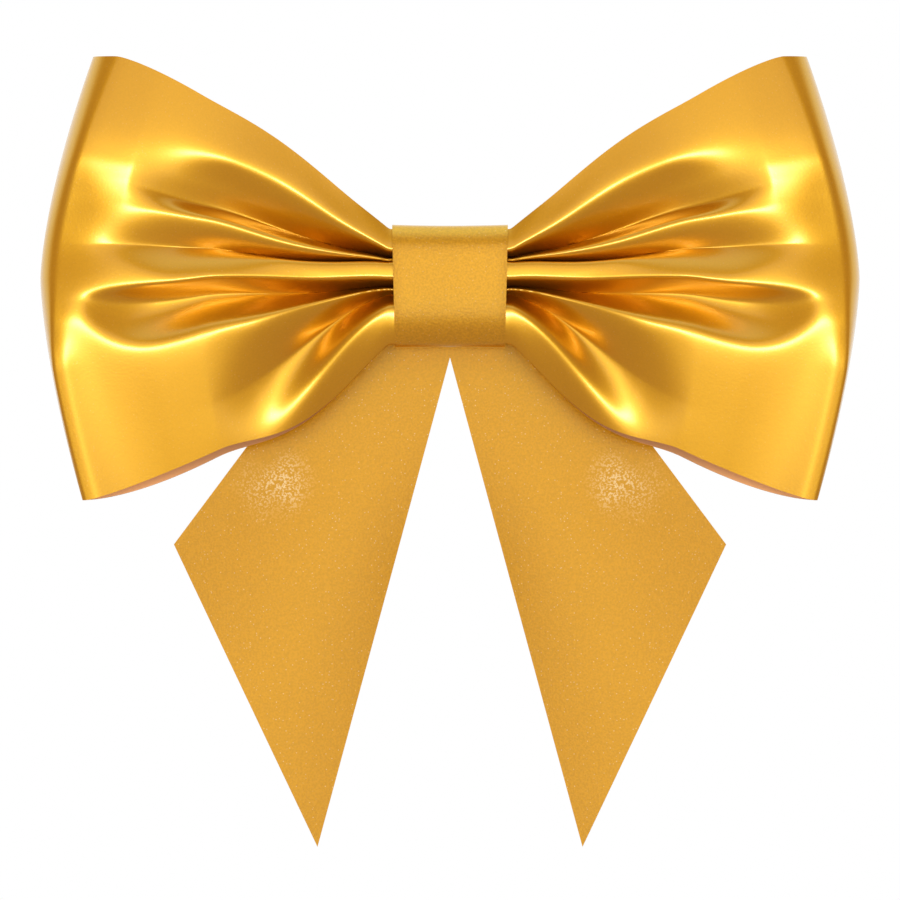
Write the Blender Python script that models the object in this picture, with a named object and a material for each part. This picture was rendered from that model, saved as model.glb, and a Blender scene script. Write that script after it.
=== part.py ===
"""A pre-made gift bow of metallic PVC sheet: two gathered loops, two pointed tails and a wrapped knot.

The bow faces -Y with +X to its right and +Z up, as it hangs. The origin is the middle of the
adhesive pad's back face. Lengths are in metres. "Depth" is a distance in front of the pad's face.
"""

import math
from collections import namedtuple

import bmesh
import bpy
import numpy as np
from mathutils import Vector

# Stock
SHEET = 0.0006  # the PVC sheet that all the ribbon pieces are cut from
TAPE = 0.0003  # double-sided tape
GAP = 0.0003  # left between two pieces that lie on each other

# Loops
BOW_WIDTH = 0.250  # across both loops
LOOP_TOP = 0.0697  # outer top corner above the knot's middle
LOOP_BOTTOM = 0.0649  # outer bottom corner below the knot's middle
END_BOW_TOP = 0.0160  # how far the outer end draws back at its top corner
END_BOW_BOTTOM = 0.0128  # and at its bottom corner
UPPER_TURN = 0.0090  # length of the turn from front to back at the end's upper part
LOWER_TURN = 0.0034  # and at its lower part
FRONT_AT_KNOT = 0.0102  # from the middle of the loop's thickness to its front, by the knot
LOOP_BELLY = 0.0134  # the same where the front is fullest
FRONT_AT_END = 0.0125  # the same where the front starts to turn
BACK_BELLY = 0.0095  # from the middle of the thickness to the back
BACK_EDGE = 0.0045  # the same at the back's long edges
TOP_FLAP_FALL = 0.0160  # how fast the front falls back from its top ridge to its top edge
BOTTOM_FLAP_FALL = 0.0120  # the same from its low ridge to its bottom edge
EDGE_CURL = 0.0140  # how fast the bottom edge curls back by the knot
FRONT_LIFT = 0.0024  # how far the front's lower edge is drawn up above the back's
TOP_SWELL = 0.0014  # how far the top pleat pushes the top edge up
BOTTOM_SWELL = 0.0052  # how far the bottom pleat pushes the bottom edge down

# Knot
KNOT_WIDTH = 0.0351  # of the knot band, at its top
KNOT_TAPER = 0.0018  # how much narrower the knot band is at its bottom
KNOT_HEIGHT = 0.0375
KNOT_DEPTH = 0.0250  # outside, from the lap at the back to the front
KNOT_FRONT_ROUND = 0.0130  # height of the rounding at the top and bottom of the front
KNOT_FRONT_FALL = 0.0085  # depth of that rounding
KNOT_BACK_ROUND = 0.0030  # radius of the two back corners
KNOT_LAP = 0.0160  # overlap of the knot band's ends
KNOT_TAPE_HEIGHT = 0.0120
KNOT_TAPE_WIDTH = 0.0300
ROOT_DEPTH_IN_KNOT = 0.0020  # how far a loop reaches into the knot
ROOT_CLEARANCE = 0.0009  # round a loop where it leaves the knot
MOUTH_STRAIGHT = 0.0016  # how far past the knot band's edge a loop starts to open
LOOP_FLEX = 25.0  # degrees that a loop bends forward at the knot band's edge
BEND_FORWARD = 0.0050  # the bend's line in front of the middle of the loop's thickness
FLEX_MARGIN = 3.0  # more degrees cut from the waist's ends, so that the loops clear it
CINCH_WIDTH = 0.0040  # rubber ring round the waist
CINCH_THICKNESS = 0.0010

# Tails and pad
APEX_BELOW_KNOT = 0.0027  # where the tails' inner edges meet
TAIL_TIP_OUT = 0.0404
TAIL_TIP_DROP = 0.1706  # below the knot's middle
TAIL_CORNER_OUT = 0.0842
TAIL_CORNER_DROP = 0.0785
TAIL_BEND_GAP = 0.0006  # between the yoke and a tail
TAIL_SLIT = 0.0004  # between the two tails above the apex
TAIL_FOLD = 0.0040  # height of the soft fold down each tail
YOKE_TOP_OUT = 0.0144  # half width of the yoke's top
YOKE_TOP = 0.0150  # above the knot's middle
TAIL_TAPE_WIDTH = 0.0300
TAIL_TAPE_HEIGHT = 0.0160
PAD_SIDE = 0.8 * KNOT_HEIGHT
PAD_THICKNESS = 0.0020

# Mesh density
FOLD_STEPS = (3, 2, 2, 2, 2, 2, 1, 2, 1, 2, 3)  # across a loop's band, between its edges, ridges and grooves
REACH_STEPS = 10  # from the knot to the turn
CLOSER_AT_KNOT = 1.25  # over 1, the steps are shorter near the knot
TURN_STEPS = 4
ARC_STEPS = 8
TAIL_STEPS = 10
TAIL_CROSS_STEPS = 6

# Depths of the layers behind the knot, from the pad's face forward, each at the sheet's middle
YOKE_DEPTH = PAD_THICKNESS + GAP + SHEET / 2
TAIL_TAPE_DEPTH = YOKE_DEPTH + SHEET / 2 + GAP + TAPE / 2
LAP_OUTER_DEPTH = TAIL_TAPE_DEPTH + TAPE / 2 + GAP + SHEET / 2
KNOT_TAPE_DEPTH = LAP_OUTER_DEPTH + SHEET / 2 + GAP + TAPE / 2
LAP_INNER_DEPTH = KNOT_TAPE_DEPTH + TAPE / 2 + GAP + SHEET / 2
KNOT_FRONT_DEPTH = LAP_OUTER_DEPTH + KNOT_DEPTH - SHEET
MID_DEPTH = (LAP_INNER_DEPTH + KNOT_FRONT_DEPTH) / 2
KNOT_HALF = (KNOT_HEIGHT - SHEET) / 2  # to the middle of the knot band's top and bottom
BEND_OUT = KNOT_WIDTH / 2  # where a loop bends
ROOT_OUT = BEND_OUT - ROOT_DEPTH_IN_KNOT  # where a loop starts
ROOT_HALF = KNOT_HALF - SHEET / 2 - ROOT_CLEARANCE
TAIL_BEND = -(KNOT_HALF - KNOT_BACK_ROUND)  # height where the knot's flat back ends and the tails bend
MOUTH_SHARE = (BEND_OUT + MOUTH_STRAIGHT - ROOT_OUT) / (BOW_WIDTH / 2 - UPPER_TURN - ROOT_OUT)

# A groove that the gathering presses into a loop. Its line, its half widths above and below the line and
# its depth are given at the knot, at one and two thirds of its reach and at its tip. Places across the band
# go from -1 at the bottom edge to 1 at the top edge, widths are in the same measure, depths are in metres
# and the reach is a share of the loop's length.
Groove = namedtuple("Groove", "line above below depth reach")
FRONT_GROOVES = (
    Groove((0.605, 0.50, 0.487, 0.53), (0.125, 0.27, 0.243, 0.17), (0.082, 0.10, 0.10, 0.13),
           (0.0075, 0.0080, 0.0080, 0.0045), 0.82),
    Groove((0.384, 0.27, 0.195, 0.16), (0.139, 0.12, 0.195, 0.24), (0.084, 0.06, 0.06, 0.06),
           (0.0060, 0.0060, 0.0050, 0.0040), 0.96),
    Groove((-0.01, 0.005, -0.10, -0.115), (0.15, 0.115, 0.10, 0.10), (0.147, 0.115, 0.20, 0.17),
           (0.0075, 0.0080, 0.0080, 0.0060), 0.94),
    Groove((-0.32, -0.19, -0.43, -0.60), (0.163, 0.14, 0.26, 0.30), (0.174, 0.36, 0.50, 0.33),
           (0.0060, 0.0078, 0.0055, 0.0030), 0.62),
)
BACK_GROOVES = (
    Groove((0.50, 0.52, 0.54, 0.55), (0.14, 0.15, 0.17, 0.18), (0.14, 0.15, 0.17, 0.18),
           (0.0060, 0.0038, 0.0028, 0.0020), 0.80),
    Groove((0.02, 0.02, 0.02, 0.02), (0.12, 0.14, 0.16, 0.16), (0.12, 0.14, 0.16, 0.16),
           (0.0065, 0.0045, 0.0028, 0.0018), 0.85),
    Groove((-0.46, -0.47, -0.49, -0.50), (0.14, 0.15, 0.17, 0.18), (0.14, 0.15, 0.17, 0.18),
           (0.0060, 0.0038, 0.0028, 0.0020), 0.75),
)
TOP_FLAP_FROM = 0.66  # place across the band
BOTTOM_FLAP_FROM = 0.27  # below the band's middle
CURL_FROM, CURL_SPREAD = 0.30, 1.55  # where the curl starts below the band's middle, and how fast that drops
TOP_FAN = 1.29  # how fast the top edge leaves the knot; 1 is a straight edge
BOTTOM_FAN = 1.55
TOP_SWELL_AT = 0.42  # share of the loop's length
BOTTOM_SWELL_AT = 0.30
SWELL_LENGTH = 0.28  # either way, as a share of the loop's length
FULLEST = 0.50  # share of the loop's length where it is fullest
ROOT_BLEND = 0.34  # share of the length over which the knot's shape gives way to the loop's


def mix(a, b, t):
    return a + (b - a) * t


def smooth(t):
    t = np.clip(t, 0.0, 1.0)
    return t * t * (3 - 2 * t)


def past(amount, softness):
    """The amount where it is above zero, with a soft bend at zero."""
    return (amount + np.sqrt(amount**2 + softness**2)) / 2


def through(four, t):
    """A cubic through four values at 0, 1/3, 2/3 and 1."""
    return np.polyval(np.polyfit((0, 1 / 3, 2 / 3, 1), four, 3), np.clip(t, 0.0, 1.0))


def fan(s, power):
    """How far an edge has opened at a share of the loop's length: 0 in the knot's mouth and 1 at the end."""
    past_mouth = np.clip((s - MOUTH_SHARE) / (1 - MOUTH_SHARE), 0.0, 1.0)
    return 1 - (1 - past_mouth) ** power


def material(name, colour, roughness, metallic):
    made = bpy.data.materials.new(name)
    made.use_nodes = True
    shader = made.node_tree.nodes["Principled BSDF"]
    shader.inputs["Base Color"].default_value = (*colour, 1.0)
    shader.inputs["Roughness"].default_value = roughness
    shader.inputs["Metallic"].default_value = metallic
    return made


def new_object(name, bm, finish, origin=(0.0, 0.0, 0.0)):
    """A node from a bmesh, smooth apart from its sharp edges. A moving node's origin is on its axis."""
    bmesh.ops.translate(bm, verts=bm.verts[:], vec=-Vector(origin))
    mesh = bpy.data.meshes.new(name)
    bm.to_mesh(mesh)
    bm.free()
    mesh.materials.append(finish)
    mesh.shade_smooth()
    mesh.set_sharp_from_angle(angle=math.radians(60))
    made = bpy.data.objects.new(name, mesh)
    made.location = origin
    bpy.context.scene.collection.objects.link(made)
    return made


def at_depth(x, depth, z):
    """A point from its distance to the right, its depth in front of the pad's face and its height."""
    return (x, -depth, z)


def sheet(name, grid, finish, thickness=SHEET, closed=False, origin=(0.0, 0.0, 0.0)):
    """A sheet of even thickness whose middle is a grid of points, given row by row."""
    bm = bmesh.new()
    rows = [[bm.verts.new(p) for p in row] for row in grid]
    following = rows[1:] + rows[:1] if closed else rows[1:]
    for row, after in zip(rows, following):
        for a, b, c, d in zip(row, row[1:], after[1:], after):
            bm.faces.new((a, b, c, d))
    made = new_object(name, bm, finish, origin)
    shell = made.modifiers.new("thickness", "SOLIDIFY")
    shell.thickness = thickness
    shell.offset = 0
    return made


def slab(name, width, height, depth, thickness, finish):
    """A flat rectangle behind the knot's middle; depth is that of its own middle."""
    sides = (-width / 2, width / 2)
    grid = [[at_depth(x, depth, z) for x in sides] for z in (-height / 2, height / 2)]
    return sheet(name, grid, finish, thickness)


# Knot


def corner(z, depth, round_z, round_depth, start, end):
    """Points on a quarter of an ellipse, as heights and depths. Angle 0 is up and 90 is forward."""
    angles = np.radians(np.linspace(start, end, ARC_STEPS + 1))
    return [(z + round_z * math.cos(a), depth + round_depth * math.sin(a)) for a in angles]


def knot_outline(inset, outer_back, inner_back):
    """The knot's section as heights and depths, from the inner lap round the front to the outer lap."""
    half, front = KNOT_HALF - inset, KNOT_FRONT_DEPTH - inset
    tall, fall, back = KNOT_FRONT_ROUND - inset, KNOT_FRONT_FALL - inset, KNOT_BACK_ROUND - inset
    return (
        corner(-half + back, inner_back + back, back, back, 270, 180)
        + corner(-half + tall, front - fall, tall, fall, 180, 90)
        + corner(half - tall, front - fall, tall, fall, 90, 0)
        + corner(half - back, outer_back + back, back, back, 0, -90)
    )


def knot_half_width(z):
    return KNOT_WIDTH / 2 - KNOT_TAPER / 2 * (0.5 - z / KNOT_HEIGHT)


def knot_band(finish):
    lap_half = KNOT_LAP / 2
    path = [(lap_half, LAP_INNER_DEPTH)]
    path += knot_outline(0.0, LAP_OUTER_DEPTH, LAP_INNER_DEPTH)
    path += [(-lap_half, LAP_OUTER_DEPTH)]
    grid = []
    for z, depth in path:
        reach = knot_half_width(z)
        grid.append([at_depth(x, depth, z) for x in (-reach, 0.0, reach)])
    return sheet("knot_band", grid, finish)


def cinch_ring(finish):
    inset = SHEET / 2 + GAP + CINCH_THICKNESS / 2
    path = knot_outline(inset, LAP_INNER_DEPTH + inset, LAP_INNER_DEPTH + inset)
    half = CINCH_WIDTH / 2
    grid = [[at_depth(x, depth, z) for x in (half, -half)] for z, depth in path[::-1]]
    return sheet("cinch_ring", grid, finish, CINCH_THICKNESS, closed=True)


# Loops


def room_in_knot(z, side):
    """From the middle of the loops' thickness to the knot band's inner face, at a height."""
    if side > 0:
        half, tall, fall = KNOT_FRONT_DEPTH - MID_DEPTH, KNOT_FRONT_ROUND, KNOT_FRONT_FALL
    else:
        half, tall, fall = MID_DEPTH - LAP_INNER_DEPTH, KNOT_BACK_ROUND, KNOT_BACK_ROUND
    past = np.clip((np.abs(z) - (KNOT_HALF - tall)) / tall, 0.0, 1.0)
    return half - fall * (1 - np.sqrt(1 - past**2)) - SHEET / 2


def groove_depth(groove, s, v):
    t = np.clip(s / groove.reach, 0.0, 1.0)
    away = v - through(groove.line, t)
    half_width = np.where(away > 0, through(groove.above, t), through(groove.below, t))
    across = np.clip(np.abs(away) / half_width, 0.0, 1.0)
    return through(groove.depth, t) * (1 - t**6) ** 0.7 * (1 - across**2) ** 2


def front_swell(s, v):
    """From the middle of the loop's thickness to the front sheet, without the grooves."""
    rising = mix(FRONT_AT_KNOT, LOOP_BELLY, smooth((s - 0.1) / (FULLEST - 0.1)))
    full = mix(rising, FRONT_AT_END, smooth((s - FULLEST) / (1 - FULLEST)))
    top_fall = TOP_FLAP_FALL * past(v - TOP_FLAP_FROM, 0.1)
    bottom_fall = BOTTOM_FLAP_FALL * past(-v - BOTTOM_FLAP_FROM, 0.1) * fan(s, BOTTOM_FAN)
    curl = EDGE_CURL * past(-v - CURL_FROM - CURL_SPREAD * s, 0.1)
    return full - top_fall - bottom_fall - curl


def loop_depth(s, v, side):
    """From the middle of the loop's thickness to its front sheet (side 1) or its back sheet (-1)."""
    puffed = front_swell(s, v) if side > 0 else mix(BACK_BELLY, BACK_EDGE, v**2)
    rooted = room_in_knot(loop_height(0.0, v, side), side) - SHEET / 2 - ROOT_CLEARANCE
    puffed = mix(rooted, puffed, smooth(s / ROOT_BLEND))
    grooves = FRONT_GROOVES if side > 0 else BACK_GROOVES
    pressed = np.max([groove_depth(g, s, v) for g in grooves], axis=0)
    least = SHEET / 2 + GAP
    return np.maximum(puffed - pressed, least)


def swell(away):
    """1 in the middle of a swelling of an edge, falling to 0 at its ends."""
    return (1 - np.clip(away / SWELL_LENGTH, -1.0, 1.0) ** 2) ** 2


def loop_height(s, v, side):
    top = mix(ROOT_HALF, LOOP_TOP, fan(s, TOP_FAN)) + TOP_SWELL * swell(s - TOP_SWELL_AT)
    bottom = -mix(ROOT_HALF, LOOP_BOTTOM, fan(s, BOTTOM_FAN)) - BOTTOM_SWELL * swell(s - BOTTOM_SWELL_AT)
    if side > 0:
        bottom = bottom + FRONT_LIFT * np.sin(np.pi * s**2)
    return mix(bottom, top, (v + 1) / 2)


def turn_length(v):
    return mix(LOWER_TURN, UPPER_TURN, smooth((v + 0.45) / 0.5))


def turn_start(v):
    """How far out the front starts to turn."""
    draw = np.where(v > 0, END_BOW_TOP, END_BOW_BOTTOM) * np.abs(v) ** 1.5
    return BOW_WIDTH / 2 - SHEET / 2 - draw - turn_length(v)


def columns(s):
    """Places across the band of the mesh's columns, which follow the front's ridges and grooves."""
    folds = [-1.0]
    for groove in FRONT_GROOVES[::-1]:
        t = s / groove.reach
        line, above, below = (through(four, t) for four in (groove.line, groove.above, groove.below))
        folds += [max(line - below, -0.9), line]
        if groove in (FRONT_GROOVES[0], FRONT_GROOVES[2]):
            folds.append(line + above)
    counts = np.cumsum((0,) + FOLD_STEPS)
    return np.interp(np.arange(counts[-1] + 1), counts, folds + [1.0])


def loop_rows(hand):
    """Grid rows from the front's root out to the turn and back to the back's root. hand is 1 on the right."""
    rows = []

    def add(out, depth, z):
        rows.append([at_depth(hand * o, MID_DEPTH + d, h) for o, d, h in zip(out, depth, z)])

    reach = np.append(0.0, mix(MOUTH_SHARE, 1.0, np.linspace(0.0, 1.0, REACH_STEPS) ** CLOSER_AT_KNOT))
    for side, order in ((1, reach), (-1, reach[::-1])):
        if side < 0:
            v = columns(1.0)
            z = loop_height(1.0, v, 1)
            for angle in np.radians(np.linspace(90, -90, TURN_STEPS + 2)[1:-1]):
                depth = loop_depth(1.0, v, 1 if angle > 0 else -1)
                add(turn_start(v) + turn_length(v) * math.cos(angle), depth * math.sin(angle), z)
        for s in order:
            v = columns(s)
            add(mix(ROOT_OUT, turn_start(v), s), side * loop_depth(s, v, side), loop_height(s, v, side))
    return rows


def loop(name, hand, finish):
    rows = loop_rows(hand)
    bend = at_depth(hand * BEND_OUT, MID_DEPTH + BEND_FORWARD, 0.0)
    return sheet(name, rows if hand > 0 else rows[::-1], finish, origin=bend)


def loop_waist(finish):
    """The gathered middle of the loop band inside the knot, with ends cut back for the loops to bend."""
    v = columns(0.0)
    z = loop_height(0.0, v, 1)
    spare = SHEET / 2 + ROOT_CLEARANCE - GAP
    front = loop_depth(0.0, v, 1) + spare
    back = -loop_depth(0.0, v, -1) - spare
    outline = list(zip(front, z)) + list(zip(back[::-1], z[::-1]))
    neck = 1 - (CINCH_THICKNESS + GAP) / max(front)
    neck_half = CINCH_WIDTH / 2 + GAP
    shoulder_half = neck_half + CINCH_THICKNESS
    slope = math.tan(math.radians(LOOP_FLEX + FLEX_MARGIN))
    bm = bmesh.new()
    rings = []
    for hand, places in ((-1, ("end", shoulder_half, neck_half)), (1, (neck_half, shoulder_half, "end"))):
        for place in places:
            scale = neck if place == neck_half else 1.0
            ring = []
            for depth, height in outline:
                cut_back = max(depth - BEND_FORWARD, 0.0) * slope
                out = ROOT_OUT - GAP - cut_back if place == "end" else place
                ring.append(bm.verts.new(at_depth(hand * out, MID_DEPTH + depth * scale, height * scale)))
            rings.append(ring)
    for ring, after in zip(rings, rings[1:]):
        for i, vert in enumerate(ring):
            j = (i + 1) % len(ring)
            bm.faces.new((vert, after[i], after[j], ring[j]))
    last = len(v) - 1
    for ring in (rings[0], rings[-1]):
        for i in range(last):
            bm.faces.new((ring[i], ring[i + 1], ring[2 * last - i], ring[2 * last + 1 - i]))
    bmesh.ops.recalc_face_normals(bm, faces=bm.faces[:])
    return new_object("loop_waist", bm, finish)


# Tails


def side_edge(z):
    """Half width of the tail sheet at a height: one straight edge from the yoke's top to the corner."""
    return mix(YOKE_TOP_OUT, TAIL_CORNER_OUT, (YOKE_TOP - z) / (YOKE_TOP + TAIL_CORNER_DROP))


def tail(name, hand, finish):
    """One pointed tail, from its bend to its slanted cut. hand is 1 on the right."""
    root = TAIL_BEND - TAIL_BEND_GAP / 4
    inner_root = np.array((TAIL_SLIT / 2, root))
    apex = np.array((TAIL_SLIT / 2, -KNOT_HEIGHT / 2 - APEX_BELOW_KNOT))
    tip = np.array((TAIL_TIP_OUT, -TAIL_TIP_DROP))
    outer_root = np.array((side_edge(root), root))
    outer = np.array((TAIL_CORNER_OUT, -TAIL_CORNER_DROP))
    grid = []
    for step in range(TAIL_STEPS + 2):
        t = max(step - 1, 0) / TAIL_STEPS
        start = inner_root if step == 0 else mix(apex, tip, t)
        end = mix(outer_root, outer, (step / (TAIL_STEPS + 1)))
        row = []
        for w in np.linspace(0.0, 1.0, TAIL_CROSS_STEPS + 1):
            x, z = mix(start, end, w)
            fold = TAIL_FOLD * math.sin(math.pi * w) * math.sin(math.pi * t / 2) ** 2
            row.append(at_depth(hand * x, YOKE_DEPTH + fold, z))
        grid.append(row)
    bend = at_depth(0.0, YOKE_DEPTH, TAIL_BEND)
    return sheet(name, grid if hand > 0 else grid[::-1], finish, origin=bend)


def tail_yoke(finish):
    """The top of the tail sheet, held flat behind the knot."""
    grid = []
    for z in (YOKE_TOP, TAIL_BEND + TAIL_BEND_GAP * 3 / 4):
        grid.append([at_depth(x, YOKE_DEPTH, z) for x in (-side_edge(z), 0.0, side_edge(z))])
    return sheet("tail_yoke", grid, finish)


def main():
    for old in list(bpy.data.objects):
        bpy.data.objects.remove(old, do_unlink=True)
    gold = material("gold_pvc", (0.80, 0.50, 0.08), 0.32, 0.85)
    clear = material("clear_tape", (0.85, 0.85, 0.82), 0.25, 0.0)
    rubber = material("rubber", (0.72, 0.58, 0.36), 0.60, 0.0)
    foam = material("white_foam", (0.90, 0.90, 0.88), 0.80, 0.0)
    knot_band(gold)
    slab("knot_tape", KNOT_TAPE_WIDTH, KNOT_TAPE_HEIGHT, KNOT_TAPE_DEPTH, TAPE, clear)
    loop_waist(gold)
    cinch_ring(rubber)
    loop("right_loop", 1, gold)
    loop("left_loop", -1, gold)
    tail_yoke(gold)
    slab("tail_tape", TAIL_TAPE_WIDTH, TAIL_TAPE_HEIGHT, TAIL_TAPE_DEPTH, TAPE, clear)
    tail("right_tail", 1, gold)
    tail("left_tail", -1, gold)
    slab("adhesive_pad", PAD_SIDE, PAD_SIDE, PAD_THICKNESS / 2, PAD_THICKNESS, foam)


main()
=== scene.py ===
"""A pre-made gift bow of gold metallic PVC sheet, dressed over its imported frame.

The bow faces -Y, with +X to the viewer's right and +Z up. Lengths are in metres. "Depth" is a
distance in front of the adhesive pad's face, so a depth of d lies at y = -d.
"""

import math
from collections import namedtuple

import bpy
import numpy as np
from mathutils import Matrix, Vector


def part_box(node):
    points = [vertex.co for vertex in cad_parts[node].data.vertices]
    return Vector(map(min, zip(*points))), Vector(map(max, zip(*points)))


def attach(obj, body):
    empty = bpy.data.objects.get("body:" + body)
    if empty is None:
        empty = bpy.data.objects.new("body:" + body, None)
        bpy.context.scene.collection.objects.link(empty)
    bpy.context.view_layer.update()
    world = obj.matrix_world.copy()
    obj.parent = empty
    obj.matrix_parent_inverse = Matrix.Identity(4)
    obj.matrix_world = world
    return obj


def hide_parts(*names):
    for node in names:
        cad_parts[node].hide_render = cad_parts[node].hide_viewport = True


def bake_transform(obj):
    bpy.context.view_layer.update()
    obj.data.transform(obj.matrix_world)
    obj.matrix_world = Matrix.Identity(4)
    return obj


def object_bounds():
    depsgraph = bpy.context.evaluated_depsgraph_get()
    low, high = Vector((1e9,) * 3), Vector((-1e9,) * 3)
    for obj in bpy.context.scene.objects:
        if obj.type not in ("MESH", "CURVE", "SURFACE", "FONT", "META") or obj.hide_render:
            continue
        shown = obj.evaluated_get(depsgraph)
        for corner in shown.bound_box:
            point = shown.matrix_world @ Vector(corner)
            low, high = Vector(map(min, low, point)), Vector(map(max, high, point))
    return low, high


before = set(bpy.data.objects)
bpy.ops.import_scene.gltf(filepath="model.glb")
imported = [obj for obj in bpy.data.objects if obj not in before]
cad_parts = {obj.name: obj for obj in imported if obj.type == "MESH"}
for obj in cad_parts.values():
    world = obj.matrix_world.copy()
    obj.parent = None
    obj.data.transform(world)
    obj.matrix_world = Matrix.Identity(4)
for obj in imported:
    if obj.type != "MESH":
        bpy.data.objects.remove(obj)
cad_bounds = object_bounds()
scene = bpy.context.scene
scene.view_settings.view_transform = "Standard"


# Portrait: a long lens, level with the bow and far in front of it, so that it shows as flat as in a
# catalogue. The picture's width is set where the loops are, and the knot sits above its middle.
CAMERA_AWAY = 4.0
PICTURE_WIDTH = 0.27357
PICTURE_MIDDLE_BELOW_KNOT = 0.0497
SENSOR_WIDTH = 36.0
LOOP_MIDDLE_DEPTH = 0.01705  # the middle of the loops' thickness

camera = bpy.data.objects.new("camera", bpy.data.cameras.new("camera"))
camera.data.sensor_width = SENSOR_WIDTH
camera.data.lens = SENSOR_WIDTH * CAMERA_AWAY / PICTURE_WIDTH
camera.location = (0.0, -LOOP_MIDDLE_DEPTH - CAMERA_AWAY, -PICTURE_MIDDLE_BELOW_KNOT)
camera.rotation_euler = (math.radians(90), 0.0, 0.0)
scene.collection.objects.link(camera)
scene.camera = camera


# Studio: a white sweep behind and above the bow, a dimmer room in front and a pale floor far below.
# A wide soft panel stands round the lens, and a softbox on each side lights its own loop alone.
ROOM_LEVEL, SWEEP_LEVEL = 0.56, 1.0
ROOM_COLOUR, SWEEP_COLOUR = (1.0, 0.63, 0.28, 1), (1, 1, 1, 1)
SWEEP_BEHIND, SWEEP_ABOVE = (-0.30, 0.40), (0.60, 0.95)  # where the sweep sets in, by a direction's Y and Z
PANEL_SIZE, PANEL_PLACE, PANEL_WATTS = (0.75, 1.30), (0, -1.1, 0.05), 2.1
SOFTBOX_SIZE, SOFTBOX_PLACE, SOFTBOX_WATTS = (0.25, 0.25), (0.125, -1.4, -0.24), 3.8
FLOOR_BELOW, FLOOR_SIDE = 0.45, 8.0
FLOOR_COLOURS, FLOOR_MOTTLE = ((0.61, 0.45, 0.29, 1), (0.63, 0.47, 0.31, 1)), 3.0


class Wire:
    """One socket among a material's nodes. A sum of wires adds the Math nodes that it stands for."""

    def __init__(self, tree, socket=None):
        self.tree = tree
        self.socket = socket

    def node(self, kind, settings=(), sockets=(), output=0):
        """Add a node: first its settings, then its sockets' values or wires. Gives one output."""
        made = self.tree.nodes.new(kind)
        for name, value in dict(settings).items():
            setattr(made, name, value)
        for name, value in dict(sockets).items():
            if isinstance(value, Wire):
                self.tree.links.new(value.socket, made.inputs[name])
            else:
                made.inputs[name].default_value = value
        return Wire(self.tree, made.outputs[output])

    def maths(self, operation, *values):
        return self.node("ShaderNodeMath", {"operation": operation}, enumerate(values))

    def rising(self, low, high):
        """From 0 where the wire is at low to 1 where it is at high, with soft ends."""
        return self.node("ShaderNodeMapRange", {"interpolation_type": "SMOOTHSTEP"},
                         {"Value": self, "From Min": low, "From Max": high})

    def __add__(self, other):
        return self.maths("ADD", self, other)

    __radd__ = __add__

    def __sub__(self, other):
        return self.maths("SUBTRACT", self, other)

    def __rsub__(self, other):
        return self.maths("SUBTRACT", other, self)

    def __mul__(self, other):
        return self.maths("MULTIPLY", self, other)

    __rmul__ = __mul__

    def between(self, colour, other):
        """The first colour where the wire is at 0, the other where it is at 1, and mixes between them."""
        return self.node("ShaderNodeMix", {"data_type": "RGBA"},
                         {"Factor": self, 6: colour, 7: other}, output=2)

    def into(self, node, name):
        self.tree.links.new(self.socket, node.inputs[name])


def softbox(name, size, watts, place):
    lamp = bpy.data.lights.new(name, "AREA")
    lamp.shape = "RECTANGLE"
    lamp.size, lamp.size_y = size
    lamp.energy = watts
    made = bpy.data.objects.new(name, lamp)
    made.location = place
    made.rotation_euler = (-Vector(place)).to_track_quat("-Z", "Y").to_euler()
    made.visible_camera = False
    scene.collection.objects.link(made)
    return made


softbox("front_panel", PANEL_SIZE, PANEL_WATTS, PANEL_PLACE)
lit = {}  # what each side's softbox shines on
for hand, side_name in ((-1, "left"), (1, "right")):
    x, y, z = SOFTBOX_PLACE
    box = softbox("softbox_" + side_name, SOFTBOX_SIZE, SOFTBOX_WATTS, (hand * x, y, z))
    lit[hand] = bpy.data.collections.new("lit_" + side_name)
    box.light_linking.receiver_collection = lit[hand]

scene.world = bpy.data.worlds.new("studio")
scene.world.use_nodes = True
air = Wire(scene.world.node_tree)
looking = air.node("ShaderNodeTexCoord", output="Generated")
behind = air.node("ShaderNodeSeparateXYZ", sockets={0: looking}, output="Y").rising(*SWEEP_BEHIND)
above = air.node("ShaderNodeSeparateXYZ", sockets={0: looking}, output="Z").rising(*SWEEP_ABOVE)
on_sweep = air.maths("MAXIMUM", behind, above)
background = scene.world.node_tree.nodes["Background"]
on_sweep.between(ROOM_COLOUR, SWEEP_COLOUR).into(background, "Color")
(ROOM_LEVEL + (SWEEP_LEVEL - ROOM_LEVEL) * on_sweep).into(background, "Strength")


def finish(name, **values):
    """A new material, its Principled shader with constant values set, and a wire to add nodes by."""
    made = bpy.data.materials.new(name)
    made.use_nodes = True
    shader = made.node_tree.nodes["Principled BSDF"]
    for socket, value in values.items():
        shader.inputs[socket.replace("_", " ").title().replace("Ior", "IOR")].default_value = value
    return made, shader, Wire(made.node_tree)


floor_mesh = bpy.data.meshes.new("floor")
reach = FLOOR_SIDE / 2
floor_mesh.from_pydata([(-reach, -reach, 0), (reach, -reach, 0), (reach, reach, 0), (-reach, reach, 0)],
                       [], [(0, 1, 2, 3)])
floor = bpy.data.objects.new("floor", floor_mesh)
floor.location.z = cad_bounds[0].z - FLOOR_BELOW
scene.collection.objects.link(floor)
floor_paint, floor_shader, floor_wire = finish("floor_paint", roughness=0.9)
mottle = floor_wire.node("ShaderNodeTexNoise", sockets={"Scale": FLOOR_MOTTLE})
mottle.between(*FLOOR_COLOURS).into(floor_shader, "Base Color")
floor_mesh.materials.append(floor_paint)


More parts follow.
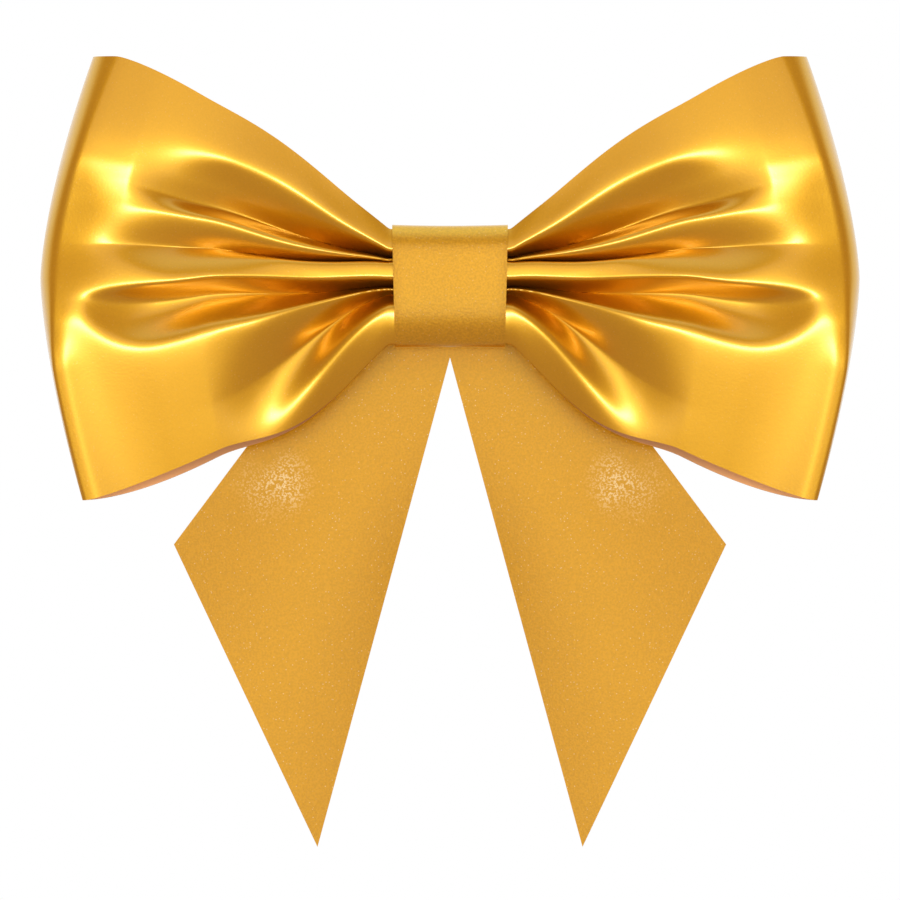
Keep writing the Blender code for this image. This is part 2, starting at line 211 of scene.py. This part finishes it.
# Loops: one wide strip of glossy gold PVC sheet, formed into a left and a right loop and gathered at
# its middle, where the knot holds it. The gathers press grooves into each loop's front and back,
# which end in round hollows before the loop's end turns back.
SHEET, SHARP_ANGLE = 0.0005, math.radians(50)
BOW_HALF = cad_bounds[1].x
ROOT_OUT = 0.0155  # where the strip leaves the waist inside the knot
MOUTH_SHARE = 0.034  # the loop opens from this share of its length on, just outside the knot
ROOT_HALF = 0.0172
LOOP_TOP, LOOP_BOTTOM = 0.0697, 0.0649
TOP_FAN, BOTTOM_FAN = 1.29, 1.55
END_BOW_TOP, END_BOW_BOTTOM, END_BOW_POWER = 0.0160, 0.0128, 1.5
FRONT_LIFT = 0.0024  # how much higher the front's bottom edge is than the back's
TOP_SWELL, TOP_SWELL_AT = 0.0014, 0.42
BOTTOM_SWELL, BOTTOM_SWELL_AT = 0.0052, 0.30
SWELL_LENGTH = 0.28
UPPER_TURN, TOP_TURN, LOWER_TURN, TURN_OUT = 0.0060, 0.0090, 0.0012, 0.8

# A place on a loop is a share s of its length, from the knot to its end, and a share v of the strip's
# half width, from -1 at its bottom edge to 1 at its top edge. A pair called ALONG or ACROSS holds the
# s or the v where a change begins and where it is complete.
FRONT_AT_KNOT, TOP_AT_KNOT, TOP_ACROSS = 0.0102, 0.0086, (0.5, 1.0)
BELLY, BELLY_FROM, FRONT_AT_END = 0.0130, 0.1, 0.0123
BELLY_AT, BELLY_ACROSS = (0.42, 0.80), (-0.2, 0.4)  # where the low part and the rest are fullest
BACK_BELLY, BACK_FALL = 0.0095, 0.005
UPPER_SWELL, UPPER_SWELL_ACROSS = 0.0012, (0.37, 0.57)  # how far the top ridge stands before the rest
LOW_FLARE, LOW_FLARE_LENGTH, LOW_FLARE_ACROSS = 0.18, 0.014, (0.22, 0.42)
END_ACROSS = (-0.45, 0.05)  # where the end's lower turn and lip go over into the upper ones
# An end's lip: its length, its slope and how soft it starts, along the top, the middle and the bottom
UPPER_LIP, MIDDLE_LIP, LOWER_LIP = (0.0025, 0.12, 0.0030), (0.018, 0.18, 0.010), (0.0032, 0.30, 0.0008)
MIDDLE_LIP_AT, MIDDLE_LIP_HALF = 0.16, 0.40
TOP_FLAP_FROM, TOP_FLAP_FALL, TOP_FLAP_BEND = 0.66, 0.0125, 0.10
BOTTOM_FLAP_FROM, BOTTOM_FROM_ALONG, BOTTOM_FLAP_BEND = (0.26, 0.17), (0.7, 1.0), 0.06
BOTTOM_FLAP_FALL, BOTTOM_FALL_ALONG = (0.0175, 0.0134), (0.72, 1.0)
EDGE_CURL, CURL_FROM, CURL_SLANT = 0.014, -0.34, 1.55
CURL_BEND, CURL_BEND_ALONG = (0.05, 0.20), (0.0, 0.45)
ROOM_IN_KNOT, ROOM_FALLS, ROOT_ALONG = 0.0101, (0.0026, 0.0040), (0.0, 0.25)
FRONT_LEAST, BACK_LEAST = -0.0028, 0.0040  # the grooves press each sheet no further in than this
NECK_HALF, NECK_DEPTH, NECK_ALONG = 0.80, 0.62, (0.0, 0.5)  # how far the ring draws in the strip
ACROSS_STEPS = (60, 56, 48, 5, 44, 57)  # between the bottom edge, the grooves' lines and the top edge
CREASE_COLUMNS = 0.012  # the width of the 5 steps at the second groove's sharp crease
WAIST_STEPS, FRONT_STEPS, TURN_STEPS, BACK_STEPS = 14, 190, 28, 90
EASINGS = 2

# A groove's line, its half widths above and below that line and its depth are given at the knot, at
# one and two thirds of its reach and at its tip, and its end is round from a share of its reach on.
# Rims say how soft its shoulders are, above, below and at its tip. Creases say how round its bottom is
# above and below the line, near the knot and near its tip. Its sides follow a power, which is its hollow
# from half its reach on.
POWER_AT_KNOT, HOLLOW_ALONG, CREASE_ALONG = 2.0, (0.0, 0.5), (0.35, 0.80)
Groove = namedtuple("Groove", "line above below depth reach round_from rims creases tip_creases hollow")
FRONT_GROOVES = (
    Groove((0.50, 0.455, 0.445, 0.480), (0.14, 0.295, 0.285, 0.240), (0.03, 0.050, 0.055, 0.090),
           (0.0088, 0.0098, 0.0074, 0.0014), 0.835, 0.64, (0.16, 0.30, 0.85), (1.1, 1.1), (1.8, 1.5), 1.0),
    Groove((0.45, 0.260, 0.195, 0.160), (0.03, 0.120, 0.190, 0.260), (0.20, 0.20, 0.19, 0.14),
           (0.0080, 0.0064, 0.0054, 0.0032), 0.91, 0.72, (0.30, 0.10, 0.60), (1.0, 0.13), (1.3, 1.30), 1.8),
    Groove((-0.03, 0.005, -0.100, -0.115), (0.20, 0.120, 0.105, 0.10), (0.04, 0.125, 0.195, 0.16),
           (0.0088, 0.0106, 0.0080, 0.0046), 0.92, 0.76, (0.10, 0.30, 0.25), (1.1, 1.5), (2.0, 2.0), 1.0),
    Groove((-0.12, -0.30, -0.56, -0.74), (0.06, 0.25, 0.35, 0.38), (0.22, 0.27, 0.36, 0.34),
           (0.0085, 0.0090, 0.0056, 0.0006), 0.57, 0.62, (0.35, 0.60, 0.80), (1.1, 1.5), (1.3, 1.5), 1.0),
)
BACK_GROOVES = (
    Groove((0.50, 0.52, 0.54, 0.55), (0.20, 0.20, 0.20, 0.16), (0.22, 0.22, 0.20, 0.16),
           (0.0065, 0.0045, 0.0030, 0.0020), 0.80, 0.60, (0.4, 0.4, 0.4), (2.0, 2.0), (2.0, 2.0), 1.0),
    Groove((0.02, 0.02, 0.02, 0.02), (0.24, 0.22, 0.20, 0.18), (0.22, 0.22, 0.20, 0.18),
           (0.0070, 0.0045, 0.0028, 0.0018), 0.85, 0.60, (0.4, 0.4, 0.4), (2.0, 2.0), (2.0, 2.0), 1.0),
    Groove((-0.46, -0.47, -0.49, -0.50), (0.22, 0.22, 0.20, 0.16), (0.20, 0.20, 0.20, 0.16),
           (0.0065, 0.0045, 0.0030, 0.0020), 0.75, 0.60, (0.4, 0.4, 0.4), (2.0, 2.0), (2.0, 2.0), 1.0),
)


def mix(a, b, t):
    return a + (b - a) * t


def rise(t, low, high):
    """From 0 where t is at low to 1 where it is at high, with soft ends."""
    t = np.clip((t - low) / (high - low), 0.0, 1.0)
    return t * t * (3 - 2 * t)


def past(amount, softness):
    """The amount where it is above zero, with a soft bend at zero."""
    return (amount + np.sqrt(amount**2 + softness**2)) / 2


def through(four, t):
    """A cubic through four values at 0, 1/3, 2/3 and 1."""
    return np.polyval(np.polyfit((0, 1 / 3, 2 / 3, 1), four, 3), t)


def pressed(groove, s, v):
    """How deep a groove is at a share s of the loop's length and a place v across the strip."""
    t = s / groove.reach
    held = np.clip(t, 0.0, 1.0)
    away = v - through(groove.line, held)
    width = np.where(away > 0, through(groove.above, held), through(groove.below, held))
    above, below, tip = groove.rims
    crease = mix(np.where(away > 0, *groove.creases), np.where(away > 0, *groove.tip_creases),
                 rise(t, *CREASE_ALONG))
    at_end = np.maximum((t - groove.round_from) / (1 - groove.round_from), 0.0)
    rim = mix(mix(below, above, rise(away / width, -1, 1)), tip, rise(at_end, 0, 1))
    inside = 1 - (np.abs(away) / width) ** crease - at_end**2
    power = mix(POWER_AT_KNOT, groove.hollow, rise(t, *HOLLOW_ALONG))
    return through(groove.depth, held) * past(inside, rim) ** power


def edge_swell(away):
    return (1 - np.clip(away / SWELL_LENGTH, -1.0, 1.0) ** 2) ** 2


def strip_height(s, v, side):
    """The height of a place on the front sheet (side 1) or the back sheet (side -1)."""
    opened = np.clip((s - MOUTH_SHARE) / (1 - MOUTH_SHARE), 0.0, 1.0)
    top = mix(ROOT_HALF, LOOP_TOP, 1 - (1 - opened) ** TOP_FAN)
    top = top + TOP_SWELL * edge_swell(s - TOP_SWELL_AT)
    bottom = -mix(ROOT_HALF, LOOP_BOTTOM, 1 - (1 - opened) ** BOTTOM_FAN)
    bottom = bottom - BOTTOM_SWELL * edge_swell(s - BOTTOM_SWELL_AT)
    if side > 0:
        bottom = bottom + FRONT_LIFT * np.sin(np.pi * s**2)
    return mix(bottom, top, (v + 1) / 2)


def turn_length(v):
    upper = mix(UPPER_TURN, TOP_TURN, np.maximum(v, 0.0) ** 2)
    return mix(LOWER_TURN, upper, rise(v, *END_ACROSS))


def lip(v):
    middle = np.maximum(1 - ((v - MIDDLE_LIP_AT) / MIDDLE_LIP_HALF) ** 2, 0.0) ** 2
    return (mix(mix(low, high, rise(v, *END_ACROSS)), mid, middle)
            for low, mid, high in zip(LOWER_LIP, MIDDLE_LIP, UPPER_LIP))


def strip_end(v):
    """How far out the front and the back sheet end and the turn begins."""
    drawn_back = np.where(v > 0, END_BOW_TOP, END_BOW_BOTTOM) * np.abs(v) ** END_BOW_POWER
    return BOW_HALF - SHEET / 2 - drawn_back - turn_length(v) * TURN_OUT


def front_depth(s, v):
    """How far the front sheet stands before the middle of the loop's thickness, without grooves."""
    fullest = mix(*BELLY_AT, rise(v, *BELLY_ACROSS))
    at_knot = mix(FRONT_AT_KNOT, TOP_AT_KNOT, rise(v, *TOP_ACROSS))
    puffed = mix(at_knot, BELLY, rise(s, BELLY_FROM, fullest))
    puffed = mix(puffed, FRONT_AT_END, rise(s, fullest, 1))
    puffed = puffed + UPPER_SWELL * rise(v, *UPPER_SWELL_ACROSS)

    span = (strip_height(s, 1.0, 1) - strip_height(s, -1.0, 1)) / (LOOP_TOP + LOOP_BOTTOM)
    puffed = puffed - span * TOP_FLAP_FALL * past(v - TOP_FLAP_FROM, TOP_FLAP_BEND)
    bottom_fall = span * mix(*BOTTOM_FLAP_FALL, rise(s, *BOTTOM_FALL_ALONG))
    bottom_from = mix(*BOTTOM_FLAP_FROM, rise(s, *BOTTOM_FROM_ALONG))
    puffed = puffed - bottom_fall * past(-v - bottom_from, BOTTOM_FLAP_BEND)
    curl_bend = mix(*CURL_BEND, rise(s, *CURL_BEND_ALONG))
    puffed = puffed - EDGE_CURL * past(CURL_FROM - CURL_SLANT * s - v, curl_bend)

    lip_length, lip_slope, lip_softness = lip(v)
    to_end = (1 - s) * (strip_end(v) - ROOT_OUT)
    puffed = puffed - lip_slope * past(lip_length - to_end, lip_softness)
    flared = np.maximum(LOW_FLARE_LENGTH - to_end, 0.0) ** 2
    return puffed + LOW_FLARE / LOW_FLARE_LENGTH / 2 * rise(-v, *LOW_FLARE_ACROSS) * flared


def strip_depth(s, v, side):
    """From the middle of the loop's thickness to its front sheet (side 1) or its back sheet (-1)."""
    if side > 0:
        puffed, grooves, least = front_depth(s, v), FRONT_GROOVES, FRONT_LEAST
    else:
        puffed, grooves, least = BACK_BELLY - BACK_FALL * v**2, BACK_GROOVES, BACK_LEAST
    rooted = ROOM_IN_KNOT - np.where(v * side > 0, *ROOM_FALLS) * v**4
    puffed = mix(rooted, puffed, rise(s, *ROOT_ALONG))
    together = sum(pressed(groove, s, v) ** 4 for groove in grooves) ** 0.25
    return np.maximum(puffed - together, least)


def eased(grid):
    """The grid with each value drawn towards its neighbours, as a stiff sheet rounds off a crease."""
    for _ in range(EASINGS):
        grid[:, 1:-1] = (grid[:, :-2] + 2 * grid[:, 1:-1] + grid[:, 2:]) / 4
        grid[1:-1] = (grid[:-2] + 2 * grid[1:-1] + grid[2:]) / 4
    return grid


def columns(s):
    """Places across the strip of the mesh's columns, which follow the grooves' lines."""
    lines = [through(groove.line, np.clip(s / groove.reach, 0.0, 1.0))
             for groove in FRONT_GROOVES[::-1]]
    lines.insert(2, lines[2] - CREASE_COLUMNS)
    places = np.concatenate([-1 + 0 * s] + lines + [1 + 0 * s], 1)
    counts = np.cumsum((0,) + ACROSS_STEPS)
    return np.array([np.interp(np.arange(counts[-1] + 1), counts, row) for row in places])


def half_strip(hand):
    """Rows of points from the bow's middle along the front, round the end and back along the back."""
    waist = np.linspace(0.0, 1.0, WAIST_STEPS, endpoint=False)[:, None]
    front = np.linspace(0.0, 1.0, FRONT_STEPS + 1)[:, None]
    round_end = np.linspace(0.0, 1.0, TURN_STEPS + 2)[1:-1, None]
    back = np.linspace(1.0, 0.0, BACK_STEPS + 1)[:, None]
    neck = rise(waist, *NECK_ALONG)

    def rows(side, steps):
        v = columns(steps)
        depth = strip_depth(steps, v, side)
        root = depth[:1] if side > 0 else depth[-1:]
        squeezed = root * mix(NECK_DEPTH, 1.0, neck)
        out = mix(ROOT_OUT, strip_end(v), steps)
        height = strip_height(steps, v, side)
        drawn = strip_height(0.0, columns(np.zeros((1, 1))), side) * mix(NECK_HALF, 1.0, neck)
        parts = ((ROOT_OUT * waist + 0 * drawn, squeezed, drawn), (out, depth, height))
        if side < 0:
            parts = (parts[1], tuple(p[::-1] for p in parts[0]))
        return [np.stack((x, side * d, z), -1) for x, d, z in parts]

    onwards, homewards = rows(1, front), rows(-1, back)
    front_end, back_end = onwards[1][-1], homewards[0][:1, :, 1]
    v = columns(np.ones((1, 1)))
    outermost = strip_end(v) + TURN_OUT * turn_length(v)
    before_end = onwards[1][-2]
    slope = (before_end[:, 1] - front_end[:, 1]) / (front_end[:, 0] - before_end[:, 0])
    start = np.arctan(np.maximum(slope, 0.0) * turn_length(v) / front_end[:, 1])
    length = (outermost - strip_end(v)) / (1 - np.sin(start))
    turn = mix(math.pi / 2 - start, -math.pi / 2, round_end)
    end_depth = np.where(turn > 0, front_end[:, 1] / np.cos(start), -back_end)
    turned = np.stack((outermost - length + length * np.cos(turn), end_depth * np.sin(turn),
                       strip_height(1.0, v, 1) + 0 * turn), -1)
    points = eased(np.concatenate(onwards + [turned] + homewards))
    points = points * (hand, -1, 1) - (0, LOOP_MIDDLE_DEPTH, 0)
    return points if hand < 0 else points[::-1]


def sheet_piece(name, points, *materials):
    """A sheet of even thickness about a grid of points. A second material is for its reverse."""
    number = np.arange(points.shape[0] * points.shape[1]).reshape(points.shape[:2])
    quads = np.stack((number[:-1, :-1], number[:-1, 1:], number[1:, 1:], number[1:, :-1]), -1)
    mesh = bpy.data.meshes.new(name)
    mesh.from_pydata(points.reshape(-1, 3).tolist(), [], quads.reshape(-1, 4).tolist())
    made = bpy.data.objects.new(name, mesh)
    scene.collection.objects.link(made)
    for material in materials:
        mesh.materials.append(material)
    shell = made.modifiers.new("thickness", "SOLIDIFY")
    shell.thickness = SHEET
    shell.offset = 0
    shell.material_offset = len(materials) - 1
    evaluated = made.evaluated_get(bpy.context.evaluated_depsgraph_get())
    solid = bpy.data.meshes.new_from_object(evaluated)
    made.modifiers.clear()
    made.data = solid
    bpy.data.meshes.remove(mesh)
    solid.shade_smooth()
    solid.set_sharp_from_angle(angle=SHARP_ANGLE)
    return made


GOLD, DUST_AND_GLARE_COLOUR = (0.75, 0.440, 0.024), (1.0, 0.86, 0.52, 1)
COAT_ROUGHNESS, COAT_IOR = 0.20, 1.50
CLOUD_SCALE, FLAKE_SCALE, SPECK_SCALE = 45.0, 1500.0, 1000.0
CLOUD_SHARE = 0.3  # how much of the gold's unevenness is cloudy: the rest is its flakes
FLAKE_SPREAD, FLAKE_ROUGHNESS, FLAKE_HEIGHT = (0.3, 0.7), 0.06, 0.0002
SPECKS_PICKED, SPECK_SIZE = (0.62, 0.70), (0.26, 0.06)
# The painted glare: how far its paler patch reaches and how speckled it is. It paints a highlight.
PAINTED_GLARE_SIZE, PAINTED_GLARE_CLOUD, PAINTED_GLARE_FLAKES = (0.015, 0.003), (0.40, 0.65), (0.48, 0.62)


def gold_sheet(name, roughness, grain, dust, painted_glare=None):
    """Metallic PVC: a gold layer of tiny flakes under a clear skin, with pale specks of dust and, where one
    is asked for, a painted glare.

    The painted glare is a paler, speckled patch of colour round a place, which paints a highlight; a sheet
    with it has it on both sides of the bow, and the same grain on both.
    """
    made, shader, wire = finish(name, metallic=1.0, coat_weight=1.0,
                                coat_roughness=COAT_ROUGHNESS, coat_ior=COAT_IOR)
    place = wire.node("ShaderNodeTexCoord", output="Object")
    if painted_glare:
        place = wire.node("ShaderNodeVectorMath", {"operation": "ABSOLUTE"}, {0: place})
    cloud = wire.node("ShaderNodeTexNoise", sockets={"Vector": place, "Scale": CLOUD_SCALE, "Detail": 2.0})
    flakes = wire.node("ShaderNodeTexNoise", sockets={"Vector": place, "Scale": FLAKE_SCALE, "Detail": 2.0})
    cells = {"Vector": place, "Scale": SPECK_SCALE}
    grit = wire.node("ShaderNodeTexVoronoi", sockets=cells, output="Distance")
    lot = wire.node("ShaderNodeTexVoronoi", sockets=cells, output="Color")
    picked = wire.node("ShaderNodeSeparateColor", sockets={0: lot}).rising(*SPECKS_PICKED)
    dust_and_glare = grit.rising(*SPECK_SIZE) * picked * dust
    # Painted glare: a paler, speckled patch round the given place, which paints the highlight that lies
    # there.
    if painted_glare:
        off = wire.node("ShaderNodeVectorMath", {"operation": "DISTANCE"}, {0: place, 1: painted_glare}, "Value")
        glare_mottle = cloud.rising(*PAINTED_GLARE_CLOUD) * flakes.rising(*PAINTED_GLARE_FLAKES)
        dust_and_glare = dust_and_glare + off.rising(*PAINTED_GLARE_SIZE) * glare_mottle
    uneven = cloud * CLOUD_SHARE + flakes.rising(*FLAKE_SPREAD) * (1 - CLOUD_SHARE)
    darker, lighter = (tuple(c * k for c in GOLD) + (1,) for k in (1 - grain / 3, 1 + grain / 3))
    dust_and_glare.between(uneven.between(darker, lighter), DUST_AND_GLARE_COLOUR).into(shader, "Base Color")
    (roughness - FLAKE_ROUGHNESS / 2 + FLAKE_ROUGHNESS * flakes).into(shader, "Roughness")
    relief = {"Strength": grain, "Distance": FLAKE_HEIGHT, "Height": flakes}
    wire.node("ShaderNodeBump", sockets=relief).into(shader, "Normal")
    return made


glossy_gold = gold_sheet("glossy_gold", roughness=0.40, grain=0.10, dust=0.12)

REVERSE_COLOURS, REVERSE_WEAVE = ((0.94, 0.52, 0.24, 1), (1.0, 0.58, 0.29, 1)), 900.0
matt_reverse, reverse_shader, reverse_wire = finish("matt_reverse", roughness=0.4, metallic=0.8)
weave = reverse_wire.node("ShaderNodeTexNoise", sockets={"Scale": REVERSE_WEAVE, "Detail": 2.0})
weave.between(*REVERSE_COLOURS).into(reverse_shader, "Base Color")

for name, hand in (("left_loop", -1), ("right_loop", 1)):
    loop_sheet = sheet_piece(name + "_sheet", half_strip(hand), glossy_gold, matt_reverse)
    lit[hand].objects.link(loop_sheet)
    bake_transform(loop_sheet)
    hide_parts(name, "loop_waist")


# Cinch ring: a small rubber ring round the gathered waist, under the knot band, that holds the pleats.
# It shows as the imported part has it, in pale rubber.
RUBBER_COLOURS, RUBBER_BLOOM = ((0.50, 0.36, 0.20, 1), (0.62, 0.47, 0.29, 1)), 700.0
rubber, rubber_shader, rubber_wire = finish("pale_rubber", roughness=0.6)
bloom = rubber_wire.node("ShaderNodeTexNoise", sockets={"Scale": RUBBER_BLOOM, "Detail": 3.0})
bloom.between(*RUBBER_COLOURS).into(rubber_shader, "Base Color")
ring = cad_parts["cinch_ring"]
ring.data.materials.clear()
ring.data.materials.append(rubber)


# Knot band: a strip of the same sheet, wrapped once round the gathers and lapped at the back, where a
# double-sided tape holds the lap. Its satin face is crowned at the front and a little waisted. A second
# tape holds the tails to its back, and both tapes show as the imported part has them.
KNOT_HALF_WIDTH, KNOT_TAPER = 0.01755, 0.0009
KNOT_HALF_HEIGHT = 0.01845
KNOT_WAIST = 0.0003  # how much lower the knot is at its middle than at its sides
KNOT_FRONT_DEPTH = 0.0292
CROWN_HEIGHT = 0.0016  # of the foremost line, above the knot's middle
CROWN_FALL_TOP, CROWN_FALL_BOTTOM = 0.0065, 0.0082
BOXY_TOP, BOXY_BOTTOM = 0.85, 0.95  # how round the front's corners are: 1 is an ellipse
BACK_ROUND = 0.0030
LAP_INNER, LAP_OUTER, LAP_REACH = 0.0056, 0.0041, 0.0080
EDGE_ROLL, EDGE_ROLL_POWER, FACE_FROM = 0.0003, 10, 0.02  # the face's side edges roll back
WRAP_STEPS, BACK_CORNER_STEPS, KNOT_STEPS = 28, 8, 30
TAPE_COLOURS, TAPE_RIPPLE = ((0.78, 0.76, 0.70, 1), (0.86, 0.85, 0.80, 1)), 400.0


def arc(depth, z, round_depth, round_z, start, end, steps, boxy=1.0):
    """Points of an elliptical corner in the knot's section, as depths and heights."""
    angle = np.radians(np.linspace(start, end, steps))
    forward, up = (np.sign(w) * np.abs(w) ** boxy for w in (np.cos(angle), np.sin(angle)))
    return np.stack((depth + round_depth * forward, z + round_z * up), -1)


top, bottom = KNOT_HALF_HEIGHT, -KNOT_HALF_HEIGHT
section = np.concatenate((
    [(LAP_INNER, LAP_REACH), (LAP_INNER, 0.0)],
    arc(LAP_INNER + BACK_ROUND, bottom + BACK_ROUND, BACK_ROUND, BACK_ROUND, 180, 270, BACK_CORNER_STEPS),
    arc(KNOT_FRONT_DEPTH - CROWN_FALL_BOTTOM, CROWN_HEIGHT,
        CROWN_FALL_BOTTOM, KNOT_HALF_HEIGHT + CROWN_HEIGHT, -90, 0, WRAP_STEPS, BOXY_BOTTOM),
    arc(KNOT_FRONT_DEPTH - CROWN_FALL_TOP, CROWN_HEIGHT,
        CROWN_FALL_TOP, KNOT_HALF_HEIGHT - CROWN_HEIGHT, 0, 90, WRAP_STEPS, BOXY_TOP)[1:],
    arc(LAP_OUTER + BACK_ROUND, top - BACK_ROUND, BACK_ROUND, BACK_ROUND, 90, 180, BACK_CORNER_STEPS),
    [(LAP_OUTER, 0.0), (LAP_OUTER, -LAP_REACH)],
))
across = np.linspace(-1, 1, KNOT_STEPS + 1)[None, :]
depth, height = section[:, :1], section[:, 1:]
narrowing = KNOT_TAPER * (0.5 - height / KNOT_HALF_HEIGHT / 2)
waisted = height * (1 - KNOT_WAIST / KNOT_HALF_HEIGHT * (1 - across**2))
rolled = depth - EDGE_ROLL * np.abs(across) ** EDGE_ROLL_POWER * (depth > FACE_FROM)
band = np.stack((across * (KNOT_HALF_WIDTH - narrowing), -rolled + 0 * across, waisted), -1)
satin_gold = gold_sheet("satin_gold", roughness=0.30, grain=0.40, dust=0.3)
knot_sheet = sheet_piece("knot_sheet", band, satin_gold)
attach(knot_sheet, "knot")
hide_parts("knot_band")

clear_tape, tape_shader, tape_wire = finish("clear_tape", roughness=0.35, transmission_weight=0.6)
ripple = tape_wire.node("ShaderNodeTexNoise", sockets={"Scale": TAPE_RIPPLE})
ripple.between(*TAPE_COLOURS).into(tape_shader, "Base Color")
for name in ("knot_tape", "tail_tape"):
    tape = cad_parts[name]
    tape.data.materials.clear()
    tape.data.materials.append(clear_tape)


# Tail sheet: one die-cut piece of the same sheet, taped flat behind the knot, with two pointed tails
# that hang from it side by side. Each half is drawn by itself.
YOKE_DEPTH = 0.0026
YOKE_TOP_OUT, YOKE_TOP = 0.0144, 0.0150
APEX = -0.02145
TIP_OUT, TIP = 0.0404, -0.1706
CORNER_OUT, CORNER = 0.0842, -0.0785
BEND, BEND_ABOVE, BEND_BELOW = -0.01545, 0.004, 0.006
TAIL_BOW, TAIL_BOW_ALONG = 0.0026, (0.0, 0.5)
TAIL_FORWARD, TAIL_FORWARD_POWER = 0.0035, 1.5
TAIL_ROWS, TAIL_COLUMNS = 110, 50
# Where each tail's painted glare sits: a paler, speckled patch that paints a highlight.
PAINTED_GLARE_PLACE = (0.0540, 0.0060, 0.0600)


def tail_half(hand):
    along = np.linspace(0.0, 1.0, TAIL_ROWS + 1)[:, None]
    over = np.linspace(0.0, 1.0, TAIL_COLUMNS + 1)[None, :]
    inner_length = (YOKE_TOP - APEX, math.hypot(TIP_OUT, APEX - TIP))
    at_apex = inner_length[0] / sum(inner_length)
    inner_x = np.interp(along, (0, at_apex, 1), (0, 0, TIP_OUT))
    inner_z = np.interp(along, (0, at_apex, 1), (YOKE_TOP, APEX, TIP))
    outer_x, outer_z = mix(YOKE_TOP_OUT, CORNER_OUT, along), mix(YOKE_TOP, CORNER, along)
    x, z = mix(inner_x, outer_x, over), mix(inner_z, outer_z, over)
    hang = np.clip((BEND - z) / (BEND - TIP), 0.0, 1.0)
    bowed = TAIL_BOW * np.sin(np.pi * over) * rise(hang, *TAIL_BOW_ALONG)
    forward = YOKE_DEPTH + bowed + TAIL_FORWARD * hang**TAIL_FORWARD_POWER
    points = np.stack((hand * x, -forward, z), -1)
    return points if hand < 0 else points[::-1]


dust_and_glare_gold = gold_sheet("dust_and_glare_gold", roughness=0.40, grain=0.30, dust=0.7, painted_glare=PAINTED_GLARE_PLACE)
for name, hand in (("left_tail", -1), ("right_tail", 1)):
    tail_sheet = sheet_piece(name + "_sheet", tail_half(hand), dust_and_glare_gold)
    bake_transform(tail_sheet)
    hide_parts(name, "tail_yoke")


# Adhesive pad: a die-cut square of white foam with a sticky face, which fixes the bow to a present.
# Its corners are round, and its side is pinched a little by the cutter.
PAD_CORNER, PAD_CORNER_STEPS, PAD_SHARP_ANGLE = 0.003, 8, math.radians(40)
# Shares of the pad's thickness, from its sticky face on, and of its full outline there
PAD_LEVELS = ((0.0, 0.985), (0.06, 0.996), (0.25, 1.0), (0.5, 0.99),
              (0.75, 1.0), (0.94, 0.996), (1.0, 0.985))
FOAM_COLOURS = ((0.70, 0.69, 0.66, 1), (0.86, 0.86, 0.84, 1))
FOAM_CELLS, FOAM_RELIEF, FOAM_CELL_DEPTH = 1400.0, 0.5, 0.0002

foam, foam_shader, foam_wire = finish("white_foam", roughness=0.8)
cells = foam_wire.node("ShaderNodeTexVoronoi", sockets={"Scale": FOAM_CELLS}, output="Distance")
cells.between(*FOAM_COLOURS).into(foam_shader, "Base Color")
relief = {"Strength": FOAM_RELIEF, "Distance": FOAM_CELL_DEPTH, "Height": cells}
foam_wire.node("ShaderNodeBump", sockets=relief).into(foam_shader, "Normal")

pad_low, pad_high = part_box("adhesive_pad")
half_x, half_z = (pad_high.x - pad_low.x) / 2, (pad_high.z - pad_low.z) / 2
rim = []
for quarter, (cx, cz) in enumerate(((1, 1), (-1, 1), (-1, -1), (1, -1))):
    for angle in np.radians(np.linspace(0, 90, PAD_CORNER_STEPS)) + quarter * math.pi / 2:
        rim.append((cx * (half_x - PAD_CORNER) + PAD_CORNER * math.cos(angle),
                    cz * (half_z - PAD_CORNER) + PAD_CORNER * math.sin(angle)))
count = len(rim)
rings = [[(x * grow, mix(pad_high.y, pad_low.y, share), z * grow) for x, z in rim]
         for share, grow in PAD_LEVELS]
faces = [list(range(count))[::-1], [count * (len(rings) - 1) + i for i in range(count)]]
for first in range(0, count * (len(rings) - 1), count):
    for i in range(count):
        j = (i + 1) % count
        faces.append((first + i, first + j, first + count + j, first + count + i))
pad_mesh = bpy.data.meshes.new("foam_pad")
pad_mesh.from_pydata([point for ring_points in rings for point in ring_points], [], faces)
pad_mesh.materials.append(foam)
pad = bpy.data.objects.new("foam_pad", pad_mesh)
scene.collection.objects.link(pad)
pad_mesh.shade_smooth()
pad_mesh.set_sharp_from_angle(angle=PAD_SHARP_ANGLE)
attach(pad, "knot")
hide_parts("adhesive_pad")
